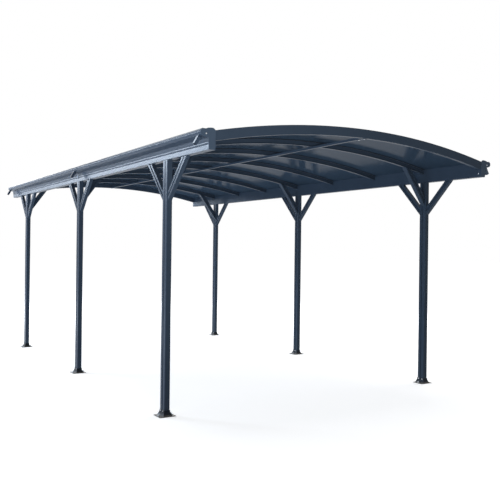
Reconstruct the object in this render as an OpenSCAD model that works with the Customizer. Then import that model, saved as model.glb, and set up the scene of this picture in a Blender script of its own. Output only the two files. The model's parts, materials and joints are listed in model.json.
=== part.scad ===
// Open carport with an arched roof: six slim posts with braces, two eave beams
// with built-in gutters, bent ribs, and tinted roof panels held between them.
// X runs across the carport, Y along it with the front at -Y, Z is up.
// The origin is on the floor at the middle of the plan. Sizes are in millimetres.

/* [Plan] */
// Distance between the centre lines of neighbouring ribs
rib_pitch = 800; // [600:10:1000]
// Distance between the left and right rows of posts, centre to centre
post_span = 3160; // [2600:10:3600]
// Height of the underside of the eave beams above the floor
eave_height = 2240; // [1900:10:2800]

/* [Posts] */
// Width of a post across the carport
post_width = 52; // [44:1:56]
// Depth of a post along the carport
post_depth = 91; // [60:1:100]
// Wall of a post
post_wall = 2.5; // [2:0.5:4]
// Chamfer on the corners of a post
post_chamfer = 4; // [1:0.5:6]
// Width of the groove down the two side faces of a post
groove_width = 14; // [8:1:24]
// Depth of that groove
groove_depth = 5; // [2:0.5:7]

/* [Feet] */
// Thickness of a base plate
plate_thickness = 6; // [4:1:12]
// Ledge of the base plate left and right of the skirt, which takes an anchor
plate_ledge = 31; // [24:1:50]
// Rim of the base plate in front of and behind the skirt
plate_rim = 4; // [2:1:30]
// Diameter of an anchor hole
anchor_hole = 11; // [8:0.5:14]
// Height of the sleeve round the post, from the floor
sleeve_height = 56; // [52:1:120]
// Wall of the sleeve
sleeve_wall = 2; // [1.5:0.5:5]
// Height of the flared skirt, from the floor
skirt_height = 50; // [30:1:58]
// How far the skirt spreads at the base plate
skirt_spread = 17; // [6:1:24]

/* [Braces] */
// How far below the eave beam the lower edge of a side brace meets the post
brace_drop = 360; // [250:5:450]
// How far from the post that edge meets the beam
brace_reach = 350; // [250:5:450]
// Width of a side brace across the carport
brace_width = 38; // [24:1:44]
// Depth of a brace across its own line
brace_depth = 58; // [40:1:70]
// How far below the eave beam the lower edge of an inner brace meets the post
inner_drop = 255; // [200:5:340]
// Slope of an inner brace
inner_slope = 54; // [45:1:62]
// Width of an inner brace along the carport
inner_width = 54; // [36:1:60]
// Width of the groove along the flat faces of a brace
brace_groove = 14; // [6:1:20]
// Depth of that groove
brace_groove_depth = 8; // [2:0.5:9]

/* [Eave beams] */
// Reach of the beam's inner face towards the middle, from the post row
beam_inner = 30; // [28:1:40]
// Reach of the beam's underside outwards, from the post row
beam_foot = 26; // [24:1:32]
// Reach of the outer face where the gutter begins
beam_waist = 36; // [33:1:46]
// Height of that line above the beam's underside
waist_height = 94; // [70:1:105]
// Reach of the gutter's nose
gutter_reach = 107; // [90:1:130]
// Slope of the gutter's floor
gutter_slope = 15; // [8:1:20]
// Outer radius of the gutter's nose
nose_radius = 28; // [18:1:34]
// How far the nose rolls over, from its outermost line towards the roof
nose_roll = 75; // [45:5:90]
// Wall of the beam
beam_wall = 3; // [2.5:0.5:4]
// Width of the two lines drawn along the outer face
line_width = 7; // [2:0.5:9]
// Depth of those lines
line_depth = 1.5; // [0.5:0.1:1.5]
// Height of the lower line above the beam's underside
low_line_height = 37; // [30:1:60]
// Distance between the two lines
line_gap = 20; // [10:1:24]
// Gap between the two lengths of a beam over the middle post
beam_joint = 0.8; // [0:0.1:2]
// Thickness of an end cap
end_cap_thickness = 4; // [2:0.5:8]
// Rise of an end cap over the roof's edge
end_cap_rise = 22; // [4:1:24]

/* [Gutter outlets] */
// Width of an outlet along the beam
outlet_width = 30; // [24:1:80]
// Reach of the line where an outlet's inner face leaves the gutter's floor
outlet_reach = 72; // [64:1:78]
// Length of an outlet's inner face
outlet_length = 82; // [50:1:110]
// Lean of an outlet out of the vertical
outlet_lean = 30; // [20:1:34]
// Wall of an outlet
outlet_wall = 3; // [2:0.5:5]
// Distance of an outlet from the end of its length of beam
outlet_inset = 35; // [20:1:120]

/* [Roof] */
// Height of the roof's top above the beam's underside, at the beam's inner face
roof_lift = 156; // [150:1:180]
// Rise of the roof from there to the crown
roof_rise = 166; // [120:1:260]
// Thickness of a roof panel
panel_thickness = 6; // [4:1:10]
// Overhang of the panels past the beam's outer wall into the gutter
panel_overrun = 8; // [3:1:20]
// Play between a panel's edge and the web beside it
panel_edge_play = 3; // [1:0.5:6]
// Depth of a rib, cap strip included
rib_depth = 58; // [45:1:75]
// Width of a rib's lower flange
rib_flange = 30; // [20:1:40]
// Width of a rib's panel ledge and of its cap strip
rib_ledge = 44; // [36:1:60]
// Thickness of a rib's flanges and of the cap strip
rib_wall = 4; // [3:0.5:5]
// Thickness of a rib's web
rib_web = 8; // [5:0.5:12]
// Depth of the front and back arches, cap strip included
arch_depth = 80; // [65:1:110]
// Width of the front and back arches along the carport
arch_width = 36; // [28:1:50]
// Width of the stop that covers a panel's edge in an end arch
arch_stop = 10; // [5:1:14]
// Width of the ridge bar
ridge_width = 25; // [16:1:40]
// Height of the ridge bar
ridge_height = 22; // [14:1:34]
// Wall of the ridge bar
ridge_wall = 2.5; // [2:0.5:4]

/* [Hidden] */
// Gap between pieces that rest on each other over a curved face
seat_fit = 0.3;
// Gap between a post and its sleeve
sleeve_fit = 0.5;
// Extra length of a cutting shape past the face that it cuts
past = 1;
// Even number of steps in one bend, so that a step ends at the crown
bend_steps = 16;
// Segments of a full circle on a hole
hole_fn = 48;
// Straight steps in one rounded corner
corner_steps = 8;
// Dip of an end cap's edge below the gutter's nose, between the nose and the crest
end_cap_dip = 2;
// Fall of an end cap's crest where it turns down to the gutter
end_cap_fall = 3;

frame_colour = "#3d4756";
outlet_colour = "#4a5565";
panel_colour = "#2c3843";

SIDES = ["left", "right"];
ROWS = ["front", "middle", "back"];
ENDS = ["front", "back"];
PANELS = 8;
POST_STEP = 3;

function side_sign(side) = side == "left" ? -1 : 1;
function row_y(row) = (search([row], ROWS)[0] - 1) * POST_STEP * rib_pitch;
function rib_y(i) = (i - 1 - PANELS / 2) * rib_pitch;

post_x = post_span / 2;
roof_end = PANELS / 2 * rib_pitch;

// Roof arc, seen along Y: one circle through the crown and both beams' inner faces
roof_half = post_x - beam_inner;
roof_radius = (roof_half * roof_half + roof_rise * roof_rise) / (2 * roof_rise);
crown_height = eave_height + roof_lift + roof_rise;
roof_centre = crown_height - roof_radius;
cap_under = roof_radius - rib_wall;
panel_top = cap_under - seat_fit;
panel_under = panel_top - panel_thickness;
ledge_top = panel_under - seat_fit;
rib_under = roof_radius - rib_depth;
arch_under = roof_radius - arch_depth;
eave_edge = post_x + beam_waist + panel_overrun;
panel_half_angle = asin(eave_edge / panel_under);

// A rib or arch ends at the beam's inner face. Its bend runs on for one more step, which is cut back,
// so that a step of the bend ends where the piece's lower edge meets the beam.
rib_end = roof_half - seat_fit;
function bend_past(radius) = asin(rib_end / radius) * bend_steps / (bend_steps - 2);

function arc_height(x, radius) = roof_centre + sqrt(radius * radius - x * x);

// Eave beam section: u runs outwards from the post row, v up from the underside
function seat_height(u) = arc_height(post_x + u, panel_under) - eave_height - seat_fit;
function roof_height(u) = arc_height(post_x + u, roof_radius) - eave_height;
function corner(centre, radius, from, to) = [
    for (i = [0 : corner_steps])
        let (a = from + (to - from) * i / corner_steps)
        centre + radius * [cos(a), sin(a)]
];
nose_from = gutter_slope - 90;
nose_touch_u = gutter_reach - nose_radius + nose_radius * cos(nose_from);
nose_centre = [
    gutter_reach - nose_radius,
    waist_height + (nose_touch_u - beam_waist) * tan(gutter_slope) - nose_radius * sin(nose_from)
];
nose_top = nose_centre[1] + nose_radius;
nose_low = corner(nose_centre, nose_radius, nose_from, 0);
nose_high = corner(nose_centre, nose_radius, 0, nose_roll);
function outer_face(v) = beam_foot + (beam_waist - beam_foot) * v / waist_height;

// Outlet: s runs down along the spout from where its inner face leaves the gutter's floor, w
// across it. Its outer face leaves the nose at a corner of the nose's outline.
spout_step = 3 * corner_steps / 8;
spout_root = [outlet_reach, waist_height + (outlet_reach - beam_waist) * tan(gutter_slope)];
spout_down = [sin(outlet_lean), -cos(outlet_lean)];
spout_across = [cos(outlet_lean), sin(outlet_lean)];
function spout(s, w) = spout_root + s * spout_down + w * spout_across;
outlet_depth = (nose_low[spout_step] - spout_root) * spout_across;
outlet_outer_top = (nose_low[spout_step] - spout_root) * spout_down;

// Base plate and skirt, measured from the post's centre
sleeve_x = post_width / 2 + sleeve_fit + sleeve_wall;
sleeve_y = post_depth / 2 + sleeve_fit + sleeve_wall;
plate_x = sleeve_x + skirt_spread + plate_ledge;
plate_y = sleeve_y + skirt_spread + plate_rim;
anchor_x = plate_x - plate_ledge / 2;

// Inner brace: length of the line that starts the given height above the brace's lowest
// point on the post's inner face and rises at the brace's slope to the rib's underside
inner_bottom = eave_height - inner_drop;
inner_face = post_x - post_width / 2;
function inner_length(height) =
    let (
        level = inner_bottom + height - roof_centre,
        radius = rib_under - seat_fit,
        half = inner_face * cos(inner_slope) - level * sin(inner_slope)
    )
    half + sqrt(half * half + radius * radius - inner_face * inner_face - level * level);

// Rectangle with cut corners, centred
module cut_rectangle(x, y, cut) {
    polygon([
        [-x / 2 + cut, -y / 2], [x / 2 - cut, -y / 2], [x / 2, -y / 2 + cut], [x / 2, y / 2 - cut],
        [x / 2 - cut, y / 2], [-x / 2 + cut, y / 2], [-x / 2, y / 2 - cut], [-x / 2, -y / 2 + cut]
    ]);
}

module post_grooves(grow) {
    for (s = [-1, 1])
        translate([s * post_width / 2, 0])
            square([2 * (groove_depth + grow), groove_width + 2 * grow], center = true);
}

module post_section() {
    difference() {
        cut_rectangle(post_width, post_depth, post_chamfer);
        post_grooves(0);
        difference() {
            cut_rectangle(post_width - 2 * post_wall, post_depth - 2 * post_wall, post_chamfer);
            post_grooves(post_wall);
        }
    }
}

module at_post(row, side) {
    translate([side_sign(side) * post_x, row_y(row), 0])
        mirror([side == "left" ? 1 : 0, 0, 0])
            children();
}

module post(row, side) {
    color(frame_colour)
        at_post(row, side)
            translate([0, 0, plate_thickness])
                linear_extrude(eave_height - plate_thickness)
                    post_section();
}

// Outline of the skirt in one direction: a hollow curve from the plate up to the sleeve
module skirt_outline(half) {
    rise = skirt_height - plate_thickness;
    flank = [
        for (i = [0 : corner_steps])
            let (t = i / corner_steps)
            [half + skirt_spread * (1 - sin(90 * t)), plate_thickness + rise * t]
    ];
    mirrored = [for (i = [corner_steps : -1 : 0]) [-flank[i][0], flank[i][1]]];
    polygon(concat(flank, mirrored));
}

module skirt() {
    intersection() {
        translate([0, plate_y, 0]) rotate([90, 0, 0]) linear_extrude(2 * plate_y) skirt_outline(sleeve_x);
        translate([-plate_x, 0, 0]) rotate([90, 0, 90]) linear_extrude(2 * plate_x) skirt_outline(sleeve_y);
    }
}

module foot(row, side) {
    color(frame_colour)
        at_post(row, side)
            difference() {
                union() {
                    translate([-plate_x, -plate_y, 0]) cube([2 * plate_x, 2 * plate_y, plate_thickness]);
                    translate([-sleeve_x, -sleeve_y, 0]) cube([2 * sleeve_x, 2 * sleeve_y, sleeve_height]);
                    skirt();
                }
                translate([0, 0, plate_thickness])
                    linear_extrude(sleeve_height)
                        square([post_width + 2 * sleeve_fit, post_depth + 2 * sleeve_fit], center = true);
                for (s = [-1, 1])
                    translate([s * anchor_x, 0, -past])
                        cylinder(d = anchor_hole, h = plate_thickness + 2 * past, $fn = hole_fn);
            }
}

// Side brace outline: x runs along the beam from the post's face, y up to the beam's underside.
// The part from..to of the brace's depth is drawn, counted from its lower edge.
module side_brace_outline(from, to) {
    line = sqrt(brace_drop * brace_drop + brace_reach * brace_reach);
    up = line / brace_reach;
    along = line / brace_drop;
    polygon([
        [0, -brace_drop + from * up], [brace_reach - from * along, 0],
        [brace_reach - to * along, 0], [0, -brace_drop + to * up]
    ]);
}

module side_brace() {
    groove_from = (brace_depth - brace_groove) / 2;
    translate([-brace_width / 2, post_depth / 2, eave_height])
        rotate([90, 0, 90])
            difference() {
                linear_extrude(brace_width) side_brace_outline(0, brace_depth);
                for (z = [-past, brace_width - brace_groove_depth])
                    translate([0, 0, z])
                        linear_extrude(brace_groove_depth + past)
                            side_brace_outline(groove_from, groove_from + brace_groove);
            }
}

// Inner brace outline: x runs outwards from the post's inner face, so the brace lies at -x
module inner_brace_outline(from, to) {
    line = [-cos(inner_slope), sin(inner_slope)];
    low = [0, from / cos(inner_slope)];
    high = [0, to / cos(inner_slope)];
    polygon([low, low + inner_length(low[1]) * line, high + inner_length(high[1]) * line, high]);
}

module inner_brace() {
    groove_from = (brace_depth - brace_groove) / 2;
    translate([-post_width / 2, inner_width / 2, inner_bottom])
        rotate([90, 0, 0])
            difference() {
                linear_extrude(inner_width) inner_brace_outline(0, brace_depth);
                for (z = [-past, inner_width - brace_groove_depth])
                    translate([0, 0, z])
                        linear_extrude(brace_groove_depth + past)
                            inner_brace_outline(groove_from, groove_from + brace_groove);
            }
}

module braces(row, side) {
    color(frame_colour)
        at_post(row, side) {
            side_brace();
            mirror([0, 1, 0]) side_brace();
            inner_brace();
        }
}

// Outer line of the beam from its underside round the gutter's nose to the nose's free edge
beam_outside = concat(
    [[-beam_inner, 0], [beam_foot, 0], [beam_waist, waist_height]],
    nose_low,
    [for (i = [1 : corner_steps]) nose_high[i]]
);

module beam_section() {
    gutter_inside = concat(
        corner(nose_centre, nose_radius - beam_wall, nose_roll, nose_from),
        [[beam_waist, waist_height + beam_wall / cos(gutter_slope)]]
    );
    seat = [[beam_waist, seat_height(beam_waist)], [-beam_inner, seat_height(-beam_inner)]];
    inside_left = beam_wall - beam_inner;
    inside_right = beam_waist - beam_wall;
    difference() {
        polygon(concat(beam_outside, gutter_inside, seat));
        polygon([
            [inside_left, beam_wall], [outer_face(beam_wall) - beam_wall, beam_wall],
            [inside_right, waist_height], [inside_right, seat_height(inside_right) - beam_wall],
            [inside_left, seat_height(inside_left) - beam_wall]
        ]);
        for (v = [low_line_height, low_line_height + line_gap])
            translate([outer_face(v), v])
                square([2 * line_depth, line_width], center = true);
    }
}

// Draws a beam section along Y from y0 to y1, turned to its side of the carport
module along_beam(side, y0, y1) {
    mirror([side == "left" ? 1 : 0, 0, 0])
        translate([post_x, y1, eave_height])
            rotate([90, 0, 0])
                linear_extrude(y1 - y0)
                    children();
}

module eave_beam(side, end) {
    near = end == "front" ? -roof_end : beam_joint / 2;
    color(frame_colour)
        along_beam(side, near, near + roof_end - beam_joint / 2)
            beam_section();
}

module end_cap(side, end) {
    near = end == "front" ? -roof_end - end_cap_thickness : roof_end;
    crest = roof_height(0) + end_cap_rise;
    crest_from = -beam_inner / 3;
    crest_to = beam_foot / 2;
    dip_u = (nose_centre[0] + beam_waist) / 2;
    color(frame_colour)
        along_beam(side, near, near + end_cap_thickness)
            polygon(concat(
                beam_outside,
                [[dip_u, nose_top - end_cap_dip]],
                [[beam_waist, crest - end_cap_fall], [crest_to, crest], [crest_from, crest]],
                [[-beam_inner, roof_height(-beam_inner)]]
            ));
}

module outlet_solid() {
    polygon(concat(
        [for (i = [spout_step : -1 : 0]) nose_low[i]],
        [spout_root, spout(outlet_length, 0), spout(outlet_length, outlet_depth)]
    ));
}

module outlet_hollow() {
    near = outlet_wall;
    far = outlet_depth - outlet_wall;
    from = outlet_wall + max(0, outlet_outer_top);
    polygon([
        spout(from, near), spout(outlet_length + past, near),
        spout(outlet_length + past, far), spout(from, far)
    ]);
}

module gutter_outlets() {
    first = -roof_end + outlet_inset;
    middle = -outlet_inset - outlet_width;
    last = roof_end - outlet_inset - outlet_width;
    color(outlet_colour)
        for (side = SIDES)
            for (y = [first, middle, last])
                difference() {
                    along_beam(side, y, y + outlet_width) outlet_solid();
                    along_beam(side, y + outlet_wall, y + outlet_width - outlet_wall) outlet_hollow();
                }
}

// Bends a section (distance from the roof's axis, place along Y) to both sides of the crown
module bent(half_angle) {
    translate([0, 0, roof_centre])
        rotate([90, 0, 0])
            rotate([0, 0, 90 - half_angle])
                rotate_extrude(angle = 2 * half_angle, $fn = floor(180 * bend_steps / half_angle))
                    mirror([0, 1])
                        children();
}

// Cuts a bent piece to length and leaves room under its ends for the two eave beams
module fitted_to_beams() {
    far = 2 * post_x;
    difference() {
        children();
        for (s = [0, 1])
            mirror([s, 0, 0])
                translate([0, roof_end + past, 0])
                    rotate([90, 0, 0])
                        linear_extrude(2 * (roof_end + past))
                            polygon([
                                [rib_end, 0], [far, 0], [far, crown_height],
                                [eave_edge, crown_height], [eave_edge, arc_height(eave_edge, panel_under)],
                                [rib_end, arc_height(rib_end, panel_under)]
                            ]);
    }
}

// One strip of a bent section, from radius low to high and from y0 to y1
module strip(low, high, y0, y1) {
    translate([low, y0]) square([high - low, y1 - y0]);
}

module rib(i) {
    y = rib_y(i);
    color(frame_colour)
        fitted_to_beams()
            bent(bend_past(rib_under)) {
                strip(rib_under, rib_under + rib_wall, y - rib_flange / 2, y + rib_flange / 2);
                strip(rib_under, roof_radius, y - rib_web / 2, y + rib_web / 2);
                strip(ledge_top - rib_wall, ledge_top, y - rib_ledge / 2, y + rib_ledge / 2);
                strip(cap_under, roof_radius, y - rib_ledge / 2, y + rib_ledge / 2);
            }
}

// End arch, drawn for the front and mirrored for the back
module end_arch() {
    y0 = -roof_end;
    y1 = -roof_end + arch_width;
    fitted_to_beams()
        bent(bend_past(arch_under))
            difference() {
                union() {
                    strip(arch_under, ledge_top, y0, y1);
                    strip(arch_under, roof_radius, y0, y0 + arch_stop);
                    strip(cap_under, roof_radius, y0, y1);
                }
                strip(arch_under + rib_wall, ledge_top - rib_wall, y0 + rib_wall, y1 - rib_wall);
            }
}

module front_arch() {
    color(frame_colour) end_arch();
}

module back_arch() {
    color(frame_colour) mirror([0, 1, 0]) end_arch();
}

module ridge_bar() {
    half = roof_end - arch_width;
    top = roof_centre + rib_under - seat_fit;
    color(frame_colour)
        translate([0, half, top - ridge_height / 2])
            rotate([90, 0, 0])
                linear_extrude(2 * half)
                    difference() {
                        square([ridge_width, ridge_height], center = true);
                        square([ridge_width - 2 * ridge_wall, ridge_height - 2 * ridge_wall], center = true);
                    }
}

// Panel i lies between rib i and rib i + 1; the first and last are held by the end arches
module roof_panel(i) {
    first_edge = i == 1 ? arch_stop : rib_web / 2;
    last_edge = i == PANELS ? arch_stop : rib_web / 2;
    color(panel_colour)
        bent(panel_half_angle)
            strip(
                panel_under, panel_top,
                rib_y(i) + first_edge + panel_edge_play, rib_y(i + 1) - last_edge - panel_edge_play
            );
}

for (row = ROWS)
    for (side = SIDES) {
        post(row, side);
        foot(row, side);
        braces(row, side);
    }
for (side = SIDES)
    for (end = ENDS) {
        eave_beam(side, end);
        end_cap(side, end);
    }
gutter_outlets();
front_arch();
back_arch();
ridge_bar();
for (i = [2 : PANELS])
    rib(i);
for (i = [1 : PANELS])
    roof_panel(i);
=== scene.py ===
# %% [markdown]
# # A carport with an arched roof
#
# This lesson dresses a finished construction model: a kit carport with six slim posts, two
# eave beams with built-in gutters, bent ribs and dark tinted roof sheets. The construction
# model already holds every main form, so it comes in first and stays where it is. All that
# follows adds what the drawing leaves out: finishes, fasteners, seals, light and a camera.

# %% Load the construction model
import json
from math import asin, cos, pi, radians, sin

import bmesh
import bpy
from mathutils import Matrix, Vector


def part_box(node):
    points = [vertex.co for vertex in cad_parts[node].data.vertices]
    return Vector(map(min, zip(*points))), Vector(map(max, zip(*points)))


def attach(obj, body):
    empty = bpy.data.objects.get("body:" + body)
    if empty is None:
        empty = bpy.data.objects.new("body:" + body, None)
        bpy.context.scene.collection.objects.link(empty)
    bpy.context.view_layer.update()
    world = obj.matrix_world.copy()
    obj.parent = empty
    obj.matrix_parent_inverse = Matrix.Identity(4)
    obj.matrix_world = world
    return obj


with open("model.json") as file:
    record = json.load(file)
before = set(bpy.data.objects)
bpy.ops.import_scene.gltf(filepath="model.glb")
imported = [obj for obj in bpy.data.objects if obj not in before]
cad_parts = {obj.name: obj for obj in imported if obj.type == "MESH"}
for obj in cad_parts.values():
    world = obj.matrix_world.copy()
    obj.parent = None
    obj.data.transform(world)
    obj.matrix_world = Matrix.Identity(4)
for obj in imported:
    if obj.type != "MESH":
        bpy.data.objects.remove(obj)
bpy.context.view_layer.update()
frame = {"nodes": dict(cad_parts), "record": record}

cad_nodes = frame["nodes"]

# %% [markdown]
# ## Camera
#
# The picture was taken from the front left, with the lens level and about as high as a
# person's chest. The focal length is given in pixels of a 500 pixel frame, so it becomes
# millimetres on a 36 mm sensor. A camera looks along its own -Z axis, so a track rotation
# points it and a small turn about that axis gives the slight roll of a hand-held shot.

# %% Camera
FRAME_PIXELS = 500
SENSOR_WIDTH = 36
FOCAL_PIXELS = 684.663
EYE = Vector((-4.145, -7.884, 1.461))
YAW = radians(31.994)
PITCH = radians(0.024)
ROLL = radians(0.716)

lens = bpy.data.cameras.new("camera")
lens.sensor_width = SENSOR_WIDTH
lens.lens = SENSOR_WIDTH * FOCAL_PIXELS / FRAME_PIXELS
camera = bpy.data.objects.new("camera", lens)
bpy.context.scene.collection.objects.link(camera)
look = Vector((sin(YAW) * cos(PITCH), cos(YAW) * cos(PITCH), sin(PITCH)))
turn = look.to_track_quat("-Z", "Y").to_matrix() @ Matrix.Rotation(ROLL, 3, "Z")
camera.matrix_world = Matrix.LocRotScale(EYE, turn, None)
bpy.context.scene.camera = camera
bpy.context.scene.view_settings.view_transform = "Standard"
print("lens", round(lens.lens, 2), "mm")

# %% [markdown]
# ## Helpers for shader nodes
#
# A material is a small network of nodes. Four helpers keep the cells below short: one adds a
# node and sets its inputs by name, one joins an output to an input, one adds a math node with
# both of its inputs, and one adds a mix of two colours.

# %% Node helpers
def add_node(tree, kind, settings=None, **inputs):
    """Adds a shader node, sets its properties, and sets inputs by name with _ for a space."""
    node = tree.nodes.new(kind)
    for key, value in (settings or {}).items():
        setattr(node, key, value)
    for key, value in inputs.items():
        node.inputs[key.replace("_", " ")].default_value = value
    return node


def join(tree, output, target):
    """Joins an output socket to an input socket."""
    tree.links.new(output, target)


def math_node(tree, operation, first, second):
    """A math node whose two inputs are sockets or plain numbers. Returns its output."""
    node = add_node(tree, "ShaderNodeMath", {"operation": operation})
    for socket, value in zip(node.inputs, (first, second)):
        if isinstance(value, bpy.types.NodeSocket):
            join(tree, value, socket)
        else:
            socket.default_value = value
    return node.outputs[0]


def mix_colours(tree, factor):
    """A colour mix that is steered by a socket. Its inputs A and B are still open."""
    node = add_node(tree, "ShaderNodeMix", {"data_type": "RGBA"})
    join(tree, factor, node.inputs["Factor"])
    return node


# %% [markdown]
# ## Floor and background
#
# The carport stands on a plain pale floor before a white background. The world is white for
# the camera and for reflections, and dimmer as a source of light, so that the lamps can give
# the profiles a light and a dark side. The floor takes real shadow from its diffuse part,
# and a glow lifts the lit part to the same white as the background. The glow is stronger
# farther out, where less light from the lamps arrives.

# %% Which rays see the background
AMBIENT = 0.14


def background_rays(tree):
    """1 for rays from the camera, from reflections and through glass, else 0."""
    path = add_node(tree, "ShaderNodeLightPath")
    seen = math_node(tree, "MAXIMUM", path.outputs["Is Camera Ray"], path.outputs["Is Glossy Ray"])
    return math_node(tree, "MAXIMUM", seen, path.outputs["Is Transmission Ray"])


world = bpy.data.worlds.new("studio")
world.use_nodes = True
bpy.context.scene.world = world
sky = world.node_tree
backdrop = sky.nodes["Background"]
backdrop.inputs["Color"].default_value = (1, 1, 1, 1)
lift = math_node(sky, "MULTIPLY", background_rays(sky), 1 - AMBIENT)
join(sky, math_node(sky, "ADD", lift, AMBIENT), backdrop.inputs["Strength"])

# %% Floor
FLOOR_SPAN = 160
FLOOR_COLOUR = (0.86, 0.86, 0.86, 1)
FLOOR_ROUGHNESS = 0.9
GLOW_NEAR = 0.61
GLOW_FAR = 0.92
GLOW_FADE = (4.0, 11.0)

floor_material = bpy.data.materials.new("pale_floor")
floor_material.use_nodes = True
floor_tree = floor_material.node_tree
floor_shader = floor_tree.nodes["Principled BSDF"]
floor_shader.inputs["Base Color"].default_value = FLOOR_COLOUR
floor_shader.inputs["Roughness"].default_value = FLOOR_ROUGHNESS
floor_shader.inputs["Specular IOR Level"].default_value = 0.0
floor_shader.inputs["Emission Color"].default_value = (1, 1, 1, 1)
spot = add_node(floor_tree, "ShaderNodeTexCoord")
distance = add_node(floor_tree, "ShaderNodeVectorMath", {"operation": "LENGTH"})
join(floor_tree, spot.outputs["Object"], distance.inputs[0])
fade = add_node(
    floor_tree, "ShaderNodeMapRange", {"interpolation_type": "SMOOTHSTEP"},
    From_Min=GLOW_FADE[0], From_Max=GLOW_FADE[1], To_Min=GLOW_NEAR, To_Max=GLOW_FAR,
)
join(floor_tree, distance.outputs["Value"], fade.inputs["Value"])
glow = math_node(floor_tree, "MULTIPLY", background_rays(floor_tree), fade.outputs["Result"])
join(floor_tree, glow, floor_shader.inputs["Emission Strength"])

floor_mesh = bpy.data.meshes.new("floor")
bm = bmesh.new()
bmesh.ops.create_grid(bm, x_segments=1, y_segments=1, size=FLOOR_SPAN / 2)
bm.to_mesh(floor_mesh)
bm.free()
floor_mesh.materials.append(floor_material)
floor = bpy.data.objects.new("floor", floor_mesh)
bpy.context.scene.collection.objects.link(floor)

# %% [markdown]
# ## Lamps
#
# Soft lamps light the carport as a product studio would. Three long narrow panels hang in a
# row to the left, where the left beam mirrors them: the upright lower band of the beam shows
# them full on, and the leaning face above it misses them and stays darker. The farther ones
# are dimmer, because a coat mirrors more strongly at a flat angle. A small lamp at the upper
# left gives the front a soft light. A low lamp in front shines under the roof, so that the
# ribs don't sink into the dark. It is aimed upward with a narrow spread, which keeps the
# lower posts darker. A lamp high at the back catches the spouts, and a bluish panel low on
# the left fills the undersides of the gutters. Three large fill lamps on the right, at the
# back and above light the sides that this picture hides, so that every other view shows the
# finishes at a plain level too.

# %% Lamps
def soft_lamp(name, place, target, length, width, watts, colour=(1, 1, 1), spread=180):
    """An area lamp at place that points at target, with its length level."""
    data = bpy.data.lights.new(name, "AREA")
    data.shape = "RECTANGLE"
    data.size = length
    data.size_y = width
    data.energy = watts
    data.color = colour
    data.spread = radians(spread)
    lamp = bpy.data.objects.new(name, data)
    bpy.context.scene.collection.objects.link(lamp)
    aim = (Vector(target) - Vector(place)).to_track_quat("-Z", "Y").to_matrix()
    lamp.matrix_world = Matrix.LocRotScale(Vector(place), aim, None)


COOL = (0.78, 0.88, 1.0)
BLUE = (0.60, 0.78, 1.0)
PANEL_X = -6.0
PANEL_Z = 4.0
PANEL_HEIGHT = 1.0
PANEL_AIM = (-1.6, 3.9)
PANELS_FROM_TO_WATTS = ((3.0, 8.0, 500), (8.0, 14.0, 330), (14.0, 24.0, 230))

for start, end, watts in PANELS_FROM_TO_WATTS:
    y = (start + end) / 2
    target = (PANEL_AIM[0], y, PANEL_AIM[1])
    soft_lamp(
        "panel_by_beam", (PANEL_X, y, PANEL_Z), target, end - start, PANEL_HEIGHT, watts, COOL
    )
soft_lamp("front_left_lamp", (-3.6, -6.6, 5.0), (-0.6, -3.2, 2.3), 2.0, 2.0, 24)
soft_lamp("low_front_lamp", (-5.2, -7.6, 0.3), (0.0, 0.0, 8.6), 2.4, 0.8, 135, spread=90)
soft_lamp("upper_back_lamp", (-2.8, 7.0, 7.6), (-1.7, -3.0, 2.3), 3.5, 3.5, 110, COOL)
soft_lamp("low_left_panel", (-8.0, -1.0, 0.8), (-1.6, -1.0, 1.9), 8.0, 1.0, 240, BLUE)
soft_lamp("right_fill", (8.0, 0.5, 3.6), (1.6, 0.0, 1.8), 8.0, 3.0, 300)
soft_lamp("back_fill", (1.5, 10.0, 3.6), (0.0, 3.2, 2.0), 6.0, 3.0, 260)
soft_lamp("top_fill", (0.5, 0.0, 9.0), (0.0, 0.0, 2.5), 7.0, 7.0, 350)
print("ten lamps, ambient level", AMBIENT)

# %% [markdown]
# ## Effects that several finishes share
#
# Powder coat, moulded plastic and zinc all have a fine grain, and everything that stands
# outdoors gathers dust. The dust mask covers upward faces and the parts near the floor; on the
# feet it is mixed in so strongly that it also paints a reflection of the white surroundings
# onto the upward ledges. The same group gives a mask of the undersides. Each effect is one node
# group with named sockets, built once and placed in every material with its own values. Object
# coordinates are metres here, because every piece keeps its place in its mesh.

# %% Group maker
def new_group(name, inputs, outputs):
    """A shader node group with named sockets. Returns its tree, input node and output node."""
    tree = bpy.data.node_groups.new(name, "ShaderNodeTree")
    for label, kind, value in inputs:
        socket = tree.interface.new_socket(label, in_out="INPUT", socket_type=kind)
        socket.default_value = value
    for label, kind in outputs:
        tree.interface.new_socket(label, in_out="OUTPUT", socket_type=kind)
    return tree, tree.nodes.new("NodeGroupInput"), tree.nodes.new("NodeGroupOutput")


# %% Grain: a fine height and a slow drift of tone
grain, grain_in, grain_out = new_group(
    "surface_grain",
    [("Grain per metre", "NodeSocketFloat", 400.0), ("Drift per metre", "NodeSocketFloat", 3.0)],
    [("Height", "NodeSocketFloat"), ("Drift", "NodeSocketFloat")],
)
place = add_node(grain, "ShaderNodeTexCoord")
fine = add_node(grain, "ShaderNodeTexNoise", Detail=2.0, Roughness=0.5)
slow = add_node(grain, "ShaderNodeTexNoise", Detail=4.0, Roughness=0.6)
for noise, label in ((fine, "Grain per metre"), (slow, "Drift per metre")):
    join(grain, place.outputs["Object"], noise.inputs["Vector"])
    join(grain, grain_in.outputs[label], noise.inputs["Scale"])
join(grain, fine.outputs["Fac"], grain_out.inputs["Height"])
join(grain, slow.outputs["Fac"], grain_out.inputs["Drift"])

# %% Dust and painted sheen: settles on upward faces and splashes up from the floor
FACING_FALLOFF = 3.0
UPWARD_SHARE = 0.6

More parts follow.
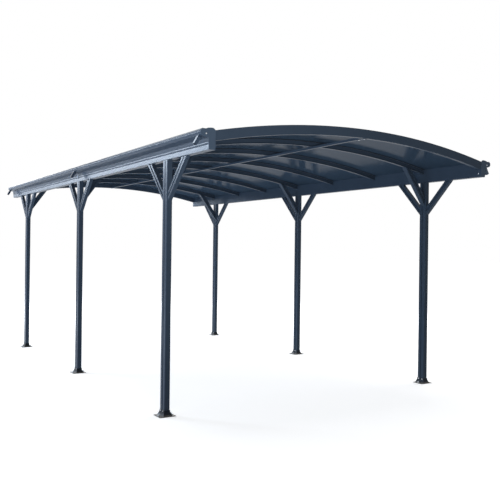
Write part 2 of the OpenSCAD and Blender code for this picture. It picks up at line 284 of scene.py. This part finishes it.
dust_and_sheen_group, dust_and_sheen_in, dust_and_sheen_out = new_group(
    "settled_dust_and_sheen",
    [("Splash height", "NodeSocketFloat", 0.35), ("Patch per metre", "NodeSocketFloat", 9.0)],
    [("Dust and sheen", "NodeSocketFloat"), ("Underside", "NodeSocketFloat")],
)
place = add_node(dust_and_sheen_group, "ShaderNodeTexCoord")
facing = add_node(dust_and_sheen_group, "ShaderNodeSeparateXYZ")
join(dust_and_sheen_group, place.outputs["Normal"], facing.inputs[0])
height = add_node(dust_and_sheen_group, "ShaderNodeSeparateXYZ")
join(dust_and_sheen_group, place.outputs["Object"], height.inputs[0])
above = math_node(dust_and_sheen_group, "MAXIMUM", facing.outputs["Z"], 0.0)
upward = math_node(dust_and_sheen_group, "POWER", above, FACING_FALLOFF)
share = math_node(dust_and_sheen_group, "DIVIDE", height.outputs["Z"], dust_and_sheen_in.outputs["Splash height"])
splash = math_node(dust_and_sheen_group, "MAXIMUM", math_node(dust_and_sheen_group, "SUBTRACT", 1.0, share), 0.0)
patches = add_node(dust_and_sheen_group, "ShaderNodeTexNoise", Detail=5.0, Roughness=0.7)
join(dust_and_sheen_group, place.outputs["Object"], patches.inputs["Vector"])
join(dust_and_sheen_group, dust_and_sheen_in.outputs["Patch per metre"], patches.inputs["Scale"])
# The upward part is settled dust, and on the feet also a painted reflection on the ledges.
reach = math_node(dust_and_sheen_group, "ADD", math_node(dust_and_sheen_group, "MULTIPLY", upward, UPWARD_SHARE), splash)
join(dust_and_sheen_group, math_node(dust_and_sheen_group, "MULTIPLY", reach, patches.outputs["Fac"]), dust_and_sheen_out.inputs["Dust and sheen"])
below = math_node(dust_and_sheen_group, "MAXIMUM", math_node(dust_and_sheen_group, "MULTIPLY", facing.outputs["Z"], -1.0), 0.0)
downward = math_node(dust_and_sheen_group, "POWER", below, FACING_FALLOFF)
join(dust_and_sheen_group, downward, dust_and_sheen_out.inputs["Underside"])
print("node groups:", [tree.name for tree in (grain, dust_and_sheen_group)])

# %% [markdown]
# ## One recipe for the coated surfaces
#
# Every solid finish on the carport follows one recipe: a base colour that drifts a little, a
# dust colour mixed in by the dust mask, which on the feet is also a painted reflection on the
# upward ledges, a roughness that follows the drift, and a bump from the grain. Rain never
# washes the undersides, so a film makes them duller. Only the numbers differ, so one function
# builds them all.

# %% Coated finish
REFLECTION_TINT = (0.50, 0.72, 1.0, 1)
# The dust colour, which on the feet's upward ledges also stands in for a painted reflection.
DUST_AND_SHEEN_COLOUR = (0.30, 0.28, 0.25, 1)
UNDERSIDE_DULLER = 0.16
GRAIN_DEPTH = 0.0004


def coated_finish(
    name, dark, light, rough, grain_scale, bump, dust_and_sheen, specular=0.12, metal=0.0, splash=0.35
):
    """A finish between a dark and a light tone, with dust on top.

    rough is a low and a high roughness, grain_scale counts grains per metre, bump is the
    strength of the grain, and the dust amount is how strongly the dust covers the tone. Set as
    high as on the feet, it also paints a reflection onto the upward faces.
    """
    material = bpy.data.materials.new(name)
    material.use_nodes = True
    tree = material.node_tree
    shader = tree.nodes["Principled BSDF"]
    shader.inputs["Specular IOR Level"].default_value = specular
    shader.inputs["Specular Tint"].default_value = REFLECTION_TINT
    shader.inputs["Metallic"].default_value = metal
    surface = add_node(tree, "ShaderNodeGroup", {"node_tree": grain})
    surface.inputs["Grain per metre"].default_value = grain_scale
    dust_and_sheen_node = add_node(tree, "ShaderNodeGroup", {"node_tree": dust_and_sheen_group})
    dust_and_sheen_node.inputs["Splash height"].default_value = splash
    tone = mix_colours(tree, surface.outputs["Drift"])
    tone.inputs["A"].default_value = (*dark, 1)
    tone.inputs["B"].default_value = (*light, 1)
    # Dust over the tone; with the high amount on the feet this is also a painted reflection.
    cover = mix_colours(tree, math_node(tree, "MULTIPLY", dust_and_sheen_node.outputs["Dust and sheen"], dust_and_sheen))
    cover.inputs["B"].default_value = DUST_AND_SHEEN_COLOUR
    join(tree, tone.outputs["Result"], cover.inputs["A"])
    join(tree, cover.outputs["Result"], shader.inputs["Base Color"])
    gloss = add_node(tree, "ShaderNodeMapRange", To_Min=rough[0], To_Max=rough[1])
    join(tree, surface.outputs["Drift"], gloss.inputs["Value"])
    duller = math_node(tree, "MULTIPLY", dust_and_sheen_node.outputs["Underside"], UNDERSIDE_DULLER)
    join(tree, math_node(tree, "ADD", gloss.outputs["Result"], duller), shader.inputs["Roughness"])
    relief = add_node(tree, "ShaderNodeBump", Strength=bump, Distance=GRAIN_DEPTH)
    join(tree, surface.outputs["Height"], relief.inputs["Height"])
    join(tree, relief.outputs["Normal"], shader.inputs["Normal"])
    return material


# %% [markdown]
# ## Finishes
#
# The frame is aluminium with a slate blue-grey powder coat, a satin finish with the fine
# orange-peel grain that such a coat has. The feet are cast and coated a little darker; a heavy
# dust mix makes their upward ledges light grey, partly dust and partly a painted reflection of
# the white surroundings. The plastic caps are duller, and the spouts are darker and glossy.
# Bolts are zinc plated, and the seals are black rubber.

# %% Frame, feet, trim, spouts, zinc and rubber
frame_coat = coated_finish(
    "slate_powder_coat", (0.034, 0.051, 0.077), (0.048, 0.068, 0.099), (0.20, 0.24),
    grain_scale=450, bump=0.05, dust_and_sheen=0.08, specular=0.06,
)
# The high dust amount lightens the feet's upward ledges: partly dust, partly a painted reflection.
foot_coat = coated_finish(
    "dark_foot_coat", (0.006, 0.008, 0.011), (0.012, 0.014, 0.019), (0.36, 0.50),
    grain_scale=260, bump=0.35, dust_and_sheen=1.3, splash=0.02,
)
trim_plastic = coated_finish(
    "slate_trim_plastic", (0.048, 0.070, 0.104), (0.062, 0.088, 0.126), (0.30, 0.40),
    grain_scale=900, bump=0.25, dust_and_sheen=0.08,
)
spout_plastic = coated_finish(
    "dark_spout_plastic", (0.022, 0.034, 0.056), (0.032, 0.047, 0.073), (0.16, 0.22),
    grain_scale=900, bump=0.05, dust_and_sheen=0.08, specular=0.5,
)
zinc = coated_finish(
    "zinc_plate", (0.42, 0.43, 0.45), (0.62, 0.63, 0.64), (0.25, 0.42),
    grain_scale=700, bump=0.15, dust_and_sheen=0.15, metal=1.0,
)
rubber = coated_finish(
    "black_rubber", (0.010, 0.010, 0.011), (0.018, 0.018, 0.019), (0.55, 0.72),
    grain_scale=1100, bump=0.3, dust_and_sheen=0.1,
)

# %% [markdown]
# ## Roof sheets
#
# The roof is a smoke-tinted twin-wall sheet, with thin walls inside that show as fine lines
# along the bend. A wave texture across the width of the sheet draws those lines, both as a
# faint change of tone and as a very slight ripple, which breaks the reflection up as the
# real sheets do. The underside is smooth, and shows the bright floor at a flat angle. The
# outer skin is weathered: rougher, with a thin clear coat over it. The mask for that is the
# direction a face looks in, up for the outer skin.

# %% Roof sheet finish
WALL_PITCH = 0.011
WAVES_PER_SCALE = 10 / pi
SHEET_DARK = (0.032, 0.053, 0.083, 1)
SHEET_LIGHT = (0.043, 0.067, 0.100, 1)
SHEET_GRAIN = 60.0
SHEET_SPECULAR = 0.0025
SHEET_ROUGHNESS = (0.08, 0.15)
OUTER_DULLER = 0.5
OUTER_COAT = 0.15
COAT_ROUGHNESS = 0.3
RIPPLE_STRENGTH = 0.05
RIPPLE_DEPTH = 0.001

roof_sheet = bpy.data.materials.new("smoke_roof_sheet")
roof_sheet.use_nodes = True
tree = roof_sheet.node_tree
shader = tree.nodes["Principled BSDF"]
shader.inputs["Specular IOR Level"].default_value = SHEET_SPECULAR
shader.inputs["Coat Roughness"].default_value = COAT_ROUGHNESS
coords = add_node(tree, "ShaderNodeTexCoord")
walls = add_node(
    tree, "ShaderNodeTexWave", {"bands_direction": "Y"}, Scale=1 / (WAVES_PER_SCALE * WALL_PITCH)
)
join(tree, coords.outputs["Object"], walls.inputs["Vector"])
surface = add_node(tree, "ShaderNodeGroup", {"node_tree": grain})
surface.inputs["Grain per metre"].default_value = SHEET_GRAIN
drift = math_node(tree, "MULTIPLY", walls.outputs["Fac"], surface.outputs["Drift"])
tint = mix_colours(tree, drift)
tint.inputs["A"].default_value = SHEET_DARK
tint.inputs["B"].default_value = SHEET_LIGHT
join(tree, tint.outputs["Result"], shader.inputs["Base Color"])
facing = add_node(tree, "ShaderNodeSeparateXYZ")
join(tree, coords.outputs["Normal"], facing.inputs[0])
outer = math_node(tree, "GREATER_THAN", facing.outputs["Z"], 0.0)
join(tree, math_node(tree, "MULTIPLY", outer, OUTER_COAT), shader.inputs["Coat Weight"])
gloss = add_node(
    tree, "ShaderNodeMapRange", To_Min=SHEET_ROUGHNESS[0], To_Max=SHEET_ROUGHNESS[1]
)
join(tree, surface.outputs["Drift"], gloss.inputs["Value"])
duller = math_node(tree, "MULTIPLY", outer, OUTER_DULLER)
join(tree, math_node(tree, "ADD", gloss.outputs["Result"], duller), shader.inputs["Roughness"])
ripple = add_node(tree, "ShaderNodeBump", Strength=RIPPLE_STRENGTH, Distance=RIPPLE_DEPTH)
join(tree, walls.outputs["Fac"], ripple.inputs["Height"])
join(tree, ripple.outputs["Normal"], shader.inputs["Normal"])

# %% [markdown]
# ## Finishes on the construction nodes
#
# The record that comes with the construction model names a slot for every node. Each slot has
# one finish, and only the spouts get their own in place of the trim's.

# %% Put the finishes on the construction nodes
finish_of_slot = {
    "frame_coat": frame_coat,
    "foot_coat": foot_coat,
    "trim_plastic": trim_plastic,
    "roof_sheet": roof_sheet,
}
for part in frame["record"]["subparts"]:
    slots = cad_nodes[part["node"]].data.materials
    slots.clear()
    slots.append(finish_of_slot[part["material_slot"]])
cad_nodes["gutter_outlets"].data.materials[0] = spout_plastic

# %% [markdown]
# ## Making and placing small pieces
#
# Fasteners repeat, so each kind is modelled once, upright at the origin, and copied to all
# its places inside one mesh. The finished object then sits at the origin, unturned and
# unscaled, like every construction node.

# %% Helpers for pieces
def add_piece(name, bm, material):
    """Turns a bmesh into a piece of the carport."""
    mesh = bpy.data.meshes.new(name)
    bm.to_mesh(mesh)
    bm.free()
    mesh.materials.append(material)
    piece = bpy.data.objects.new(name, mesh)
    bpy.context.scene.collection.objects.link(piece)
    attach(piece, "root")
    print(name, len(mesh.polygons), "faces")


def pattern_mesh(name, bm):
    """Keeps a bmesh as a plain mesh that copies are made from."""
    mesh = bpy.data.meshes.new(name)
    bm.to_mesh(mesh)
    bm.free()
    return mesh


def copies(pattern, places):
    """A bmesh with one copy of a pattern mesh at each place, a 4x4 matrix."""
    bm = bmesh.new()
    for place in places:
        first = len(bm.verts)
        bm.from_mesh(pattern)
        bm.verts.ensure_lookup_table()
        bmesh.ops.transform(bm, matrix=place, verts=bm.verts[first:])
    return bm


def stand_on(spot, outward):
    """The place of a fastener whose foot is at spot and whose head points outward."""
    aim = Vector(outward).to_track_quat("Z", "Y").to_matrix()
    return Matrix.LocRotScale(Vector(spot), aim, None)


def turned_disc(bm, sides, radius, bottom, top, rim):
    """A disc or a hexagon head between two heights, with its upper rim rounded off."""
    lift = Matrix.Translation((0, 0, (bottom + top) / 2))
    disc = bmesh.ops.create_cone(
        bm, cap_ends=True, segments=sides, radius1=radius, radius2=radius,
        depth=top - bottom, matrix=lift,
    )
    upper = {vert for vert in disc["verts"] if vert.co.z > (bottom + top) / 2}
    rim_edges = [e for e in bm.edges if e.verts[0] in upper and e.verts[1] in upper]
    bmesh.ops.bevel(
        bm, geom=rim_edges, offset=rim, segments=2, profile=0.5, affect="EDGES", material=-1
    )


# %% [markdown]
# ## Anchor bolts
#
# Each foot is held to the ground by two anchors, one on each side of the post: a washer, a
# hexagon nut and the end of the stud. Three turned shapes make one anchor.

# %% Anchor bolts
PLATE = 0.006
ANCHOR_TO_EDGE = 0.0155
NUT_BOTTOM = 0.0022
NUT_TOP = 0.0104
STUD_BOTTOM = -0.004
STUD_TOP = 0.0185
FEET = sorted(name for name in cad_nodes if name.startswith("foot_"))

bm = bmesh.new()
turned_disc(bm, sides=20, radius=0.0115, bottom=0.0, top=NUT_BOTTOM, rim=0.0006)
turned_disc(bm, sides=6, radius=0.0098, bottom=NUT_BOTTOM, top=NUT_TOP, rim=0.0012)
turned_disc(bm, sides=14, radius=0.0049, bottom=STUD_BOTTOM, top=STUD_TOP, rim=0.0010)
anchor = pattern_mesh("anchor_pattern", bm)

anchor_places = []
for name in FEET:
    low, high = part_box(name)
    middle = (low + high) / 2
    reach = (high.x - low.x) / 2 - ANCHOR_TO_EDGE
    for side in (-1, 1):
        anchor_places.append(stand_on((middle.x + side * reach, middle.y, PLATE), (0, 0, 1)))
add_piece("anchor_bolts", copies(anchor, anchor_places), zinc)

# %% [markdown]
# ## Socket screws
#
# Feet, braces, end caps, ridge straps, ribs and spouts are all held by the same button-head
# screw. The head is a turned disc with a rounded rim, and the socket is the top face inset and
# pushed down.

# %% Socket screw pattern
HEAD_SIDES = 16
HEAD_RADIUS = 0.0065
HEAD_HEIGHT = 0.0042
HEAD_RIM = 0.0022
SOCKET_INSET = 0.0012
SOCKET_DEPTH = 0.0022

bm = bmesh.new()
turned_disc(bm, HEAD_SIDES, HEAD_RADIUS, 0.0, HEAD_HEIGHT, HEAD_RIM)
bm.faces.ensure_lookup_table()
crown = max(bm.faces, key=lambda face: face.calc_center_median().z)
bmesh.ops.inset_region(bm, faces=[crown], thickness=SOCKET_INSET, use_even_offset=True)
sunk = bmesh.ops.extrude_face_region(bm, geom=[crown])
bmesh.ops.delete(bm, geom=[crown], context="FACES_ONLY")
sunk_verts = [item for item in sunk["geom"] if isinstance(item, bmesh.types.BMVert)]
bmesh.ops.translate(bm, verts=sunk_verts, vec=(0, 0, -SOCKET_DEPTH))
bmesh.ops.recalc_face_normals(bm, faces=bm.faces)
socket_screw = pattern_mesh("socket_screw_pattern", bm)
print("socket screw:", len(socket_screw.polygons), "faces")

# %% Foot screws
SLEEVE_HALF = 0.0288
FOOT_SCREW_HEIGHT = 0.047
FOOT_SCREW_APART = 0.048

foot_screw_places = []
for name in FEET:
    middle = sum(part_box(name), Vector()) / 2
    for side in (-1, 1):
        for along in (-1, 1):
            spot = (
                middle.x + side * SLEEVE_HALF,
                middle.y + along * FOOT_SCREW_APART / 2,
                FOOT_SCREW_HEIGHT,
            )
            foot_screw_places.append(stand_on(spot, (side, 0, 0)))
add_piece("foot_screws", copies(socket_screw, foot_screw_places), zinc)

# %% [markdown]
# ## Brace screws
#
# A brace is cut at an angle at both ends and screwed through its lower face: a side brace into
# the post and into the beam, the inner brace into the post only. The places follow the slope
# of the brace: a start on the post's face, then a distance along the lower face.

# %% Brace screws
SIDE_FOOT = 1.880
SIDE_RUN = 0.350
SIDE_RISE = 0.360
INNER_FOOT = 1.985
INNER_SLOPE = radians(54)
FROM_END = 0.032
POSTS = sorted(name for name in cad_nodes if name.startswith("post_"))

brace_screw_places = []
for name in POSTS:
    low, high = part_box(name)
    middle = (low + high) / 2
    side_along = Vector((0, SIDE_RUN, SIDE_RISE))
    for way in (-1, 1):
        foot = Vector((middle.x, high.y if way > 0 else low.y, SIDE_FOOT))
        along = Vector((0, way * side_along.y, side_along.z))
        down = Vector((0, way * side_along.z, -side_along.y)).normalized()
        for share in (FROM_END / along.length, 1 - FROM_END / along.length):
            brace_screw_places.append(stand_on(foot + share * along, down))
    inward = -1 if middle.x > 0 else 1
    foot = Vector((high.x if inward > 0 else low.x, middle.y, INNER_FOOT))
    along = Vector((inward * cos(INNER_SLOPE), 0, sin(INNER_SLOPE)))
    down = Vector((inward * sin(INNER_SLOPE), 0, -cos(INNER_SLOPE)))
    brace_screw_places.append(stand_on(foot + FROM_END * along, down))
add_piece("brace_screws", copies(socket_screw, brace_screw_places), frame_coat)

# %% [markdown]
# ## Cap screws
#
# Each end cap is fixed to its beam by a screw beside the gutter, and a second one comes from
# the beam's inner face. Their places are given across the beam from the post row and up from
# the beam's underside, and mirrored to the four ends.

# %% Cap screws
BEAM_UNDERSIDE = 2.240
CAP_SCREW_ACROSS = 0.054
CAP_SCREW_UP = 0.122
INNER_SCREW_UP = 0.037
INNER_SCREW_FROM_END = 0.035

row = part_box("post_front_right")
row_x = (row[0].x + row[1].x) / 2
beam_inner_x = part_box("eave_beam_right_front")[0].x
cap_screw_places = []
for side in (-1, 1):
    for end in (-1, 1):
        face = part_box("end_cap_right_front")[0].y if end < 0 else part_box("end_cap_right_back")[1].y
        spot = (side * (row_x + CAP_SCREW_ACROSS), face, BEAM_UNDERSIDE + CAP_SCREW_UP)
        cap_screw_places.append(stand_on(spot, (0, end, 0)))
        inner_y = face - end * INNER_SCREW_FROM_END
        spot = (side * beam_inner_x, inner_y, BEAM_UNDERSIDE + INNER_SCREW_UP)
        cap_screw_places.append(stand_on(spot, (-side, 0, 0)))
add_piece("cap_screws", copies(socket_screw, cap_screw_places), zinc)

# %% [markdown]
# ## Rib seals
#
# A black rubber lip runs along both ledges of every rib, between ledge and sheet. A small
# four-sided loop is spun about the roof's axis, which bends the lip exactly as the rib is
# bent. The roof's circle is worked out from a sheet: half its chord and its rise.

# %% The roof's circle
SHEET = 0.006

under_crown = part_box("roof_panel_4")[1].z - SHEET
edge = min((vert.co for vert in cad_nodes["roof_panel_4"].data.vertices), key=lambda co: co.z)
rise = under_crown - edge.z
under_radius = (edge.x**2 + rise**2) / (2 * rise)
axis_z = under_crown - under_radius
print("underside radius", round(under_radius, 4), "axis height", round(axis_z, 4))

# %% Rib seals
LEDGE_HALF = 0.022
LIP_WIDTH = 0.0035
LIP_DEPTH = 0.0045
LIP_SLOPE = 0.002
SEAL_FROM_END = 0.004
BEND_STEPS = 40
RIBS = sorted(name for name in cad_nodes if name.startswith("rib_"))


def spun_strip(bm, corners, half_angle):
    """Spins a loop of (y, radius) corners about the roof's axis, from left to right."""
    start = Matrix.Translation((0, 0, axis_z)) @ Matrix.Rotation(-half_angle, 4, "Y")
    loop = [bm.verts.new(start @ Vector((0, y, radius))) for y, radius in corners]
    edges = [bm.edges.new((a, b)) for a, b in zip(loop, loop[1:] + loop[:1])]
    bmesh.ops.spin(
        bm, geom=loop + edges, cent=(0, 0, axis_z), axis=(0, 1, 0),
        angle=2 * half_angle, steps=BEND_STEPS,
    )


bm = bmesh.new()
for name in RIBS:
    low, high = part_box(name)
    half_angle = asin((high.x - SEAL_FROM_END) / under_radius)
    middle_y = (low.y + high.y) / 2
    for side in (-1, 1):
        near = middle_y + side * LEDGE_HALF
        far = near + side * LIP_WIDTH
        bottom = under_radius - LIP_DEPTH
        corners = [
            (near, bottom), (far, bottom + LIP_SLOPE), (far, under_radius), (near, under_radius)
        ]
        spun_strip(bm, corners, half_angle)
bmesh.ops.holes_fill(bm, edges=[e for e in bm.edges if e.is_boundary], sides=4)
bmesh.ops.recalc_face_normals(bm, faces=bm.faces)
add_piece("rib_seals", bm, rubber)

# %% [markdown]
# ## Closing strips on the sheets' lower ends
#
# The hollow sheets are closed over the gutters by thin U-shaped strips, which keep dirt and
# insects out. The U is drawn once across the sheet's end, with one direction along the sheet
# and one out of it, and extruded along the edge of each sheet. The helper for that is used
# again for the strips on the beams.

# %% Closing strips
STRIP_U = (
    (-0.0075, -0.0016), (0.0020, -0.0016), (0.0020, 0.0076), (-0.0090, 0.0076),
    (-0.0090, 0.0062), (0.0004, 0.0062), (0.0004, -0.0002), (-0.0075, -0.0002),
)
STRIP_FROM_RIB = 0.004
PANELS = sorted(name for name in cad_nodes if name.startswith("roof_panel_"))


def drawn_profile(bm, corners, length):
    """Makes a face of the corners and extrudes it along Y."""
    face = bm.faces.new([bm.verts.new(corner) for corner in corners])
    drawn = bmesh.ops.extrude_face_region(bm, geom=[face])
    moved = [item for item in drawn["geom"] if isinstance(item, bmesh.types.BMVert)]
    bmesh.ops.translate(bm, verts=moved, vec=(0, length, 0))


end_angle = asin(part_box("roof_panel_4")[1].x / (under_radius + SHEET))
along_sheet = Vector((cos(end_angle), 0, -sin(end_angle)))
out_of_sheet = Vector((sin(end_angle), 0, cos(end_angle)))
sheet_end = Vector((0, 0, axis_z)) + under_radius * out_of_sheet

bm = bmesh.new()
for name in PANELS:
    low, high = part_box(name)
    start = sheet_end + Vector((0, low.y + STRIP_FROM_RIB, 0))
    corners = [start + a * along_sheet + b * out_of_sheet for a, b in STRIP_U]
    drawn_profile(bm, corners, high.y - low.y - 2 * STRIP_FROM_RIB)
bmesh.ops.mirror(bm, geom=bm.verts[:] + bm.edges[:] + bm.faces[:], axis="X", merge_dist=0.0)
bmesh.ops.recalc_face_normals(bm, faces=bm.faces)
add_piece("sheet_closing_strips", bm, frame_coat)

# %% [markdown]
# ## Straps under the ridge bar
#
# At the front and the back a flat strap with rounded corners ties the ridge bar to the arch
# from below, with one screw in the bar and one in the arch.

# %% Ridge straps
STRAP_WIDTH = 0.030
STRAP_LENGTH = 0.110
STRAP_THICK = 0.003
STRAP_FROM_FRONT = 0.005
STRAP_CORNER = 0.006
STRAP_SCREW_ALONG = 0.036

ridge_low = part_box("ridge_bar")[0]
arch_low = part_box("front_arch")[0]
bm = bmesh.new()
strap_screw_places = []
for end in (-1, 1):
    front = arch_low.y + STRAP_FROM_FRONT
    middle = Vector((0, -end * (front + STRAP_LENGTH / 2), ridge_low.z - STRAP_THICK / 2))
    size = Matrix.Diagonal((STRAP_WIDTH, STRAP_LENGTH, STRAP_THICK, 1))
    plate = bmesh.ops.create_cube(bm, size=1, matrix=Matrix.Translation(middle) @ size)
    edges = {edge for vert in plate["verts"] for edge in vert.link_edges}
    corners = [e for e in edges if abs(e.verts[0].co.z - e.verts[1].co.z) > STRAP_THICK / 2]
    bmesh.ops.bevel(
        bm, geom=corners, offset=STRAP_CORNER, segments=3, profile=0.5, affect="EDGES", material=-1
    )
    for along in (-STRAP_SCREW_ALONG, STRAP_SCREW_ALONG):
        spot = middle + Vector((0, along, -STRAP_THICK / 2))
        strap_screw_places.append(stand_on(spot, (0, 0, -1)))
add_piece("ridge_straps", bm, frame_coat)
add_piece("strap_screws", copies(socket_screw, strap_screw_places), zinc)

# %% [markdown]
# ## Roof screws
#
# From above, the cap strip of every rib is held down by a row of screws. They stand square to
# the bend, so each one points away from the roof's axis.

# %% Roof screws
SCREW_STEP = 0.36
SCREWS_A_SIDE = 4

roof_screw_places = []
for name in RIBS:
    low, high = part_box(name)
    radius = high.z - axis_z
    for step in range(-SCREWS_A_SIDE, SCREWS_A_SIDE + 1):
        angle = step * SCREW_STEP / radius
        outward = Vector((sin(angle), 0, cos(angle)))
        spot = Vector((0, (low.y + high.y) / 2, axis_z)) + radius * outward
        roof_screw_places.append(stand_on(spot, outward))
add_piece("roof_screws", copies(socket_screw, roof_screw_places), frame_coat)

# %% [markdown]
# ## Outlet screws
#
# One screw holds each spout to the gutter. It sits high on the spout's flat side, on the side
# that faces the nearer end of the carport.

# %% Outlet screws
OUTLET_ROWS = (-3.165, -0.065, 3.165)
OUTLET_SCREW_ACROSS = 0.094
OUTLET_SCREW_UP = 0.093

outlet_screw_places = []
for side in (-1, 1):
    for y in OUTLET_ROWS:
        spot = (side * (row_x + OUTLET_SCREW_ACROSS), y, BEAM_UNDERSIDE + OUTLET_SCREW_UP)
        outlet_screw_places.append(stand_on(spot, (0, 1 if y > 0 else -1, 0)))
add_piece("outlet_screws", copies(socket_screw, outlet_screw_places), trim_plastic)

# %% [markdown]
# ## Lower bands of the beams
#
# The lowest part of a beam's outer face stands upright, while the face above it leans outward
# to the gutter. The difference is a few millimetres, but it turns the band to the light, so
# that it shows as a bright line under a darker face. A thin wedge along the face makes it.

# %% Lower bands
BAND_WEDGE = ((0.0258, 0.0008), (0.0302, 0.0008), (0.0304, 0.0335), (0.0290, 0.0335))
BEAMS = sorted(name for name in cad_nodes if name.startswith("eave_beam_"))


def on_beam(outline, side, y):
    """Places corners given across from the post row and up from the beam's underside."""
    return [(side * (row_x + across), y, BEAM_UNDERSIDE + up) for across, up in outline]


bm = bmesh.new()
for name in BEAMS:
    low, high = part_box(name)
    side = 1 if high.x > 0 else -1
    drawn_profile(bm, on_beam(BAND_WEDGE, side, low.y), high.y - low.y)
bmesh.ops.recalc_face_normals(bm, faces=bm.faces)
add_piece("beam_lower_bands", bm, frame_coat)

# %% [markdown]
# ## Joint strips
#
# Two lengths of beam meet over the middle post. A narrow strip of bare metal covers the joint
# on the outer face and shows as a thin light line. Its outline follows the upright band and
# the leaning face above it, and is extruded over the joint.

# %% Joint strips
JOINT_OUTLINE = (
    (0.0250, 0.0006), (0.0312, 0.0006), (0.0314, 0.0340), (0.0372, 0.0930), (0.0352, 0.0930),
)
JOINT_HALF = 0.0015

bm = bmesh.new()
for side in (-1, 1):
    drawn_profile(bm, on_beam(JOINT_OUTLINE, side, -JOINT_HALF), 2 * JOINT_HALF)
bmesh.ops.recalc_face_normals(bm, faces=bm.faces)
add_piece("joint_strips", bm, zinc)
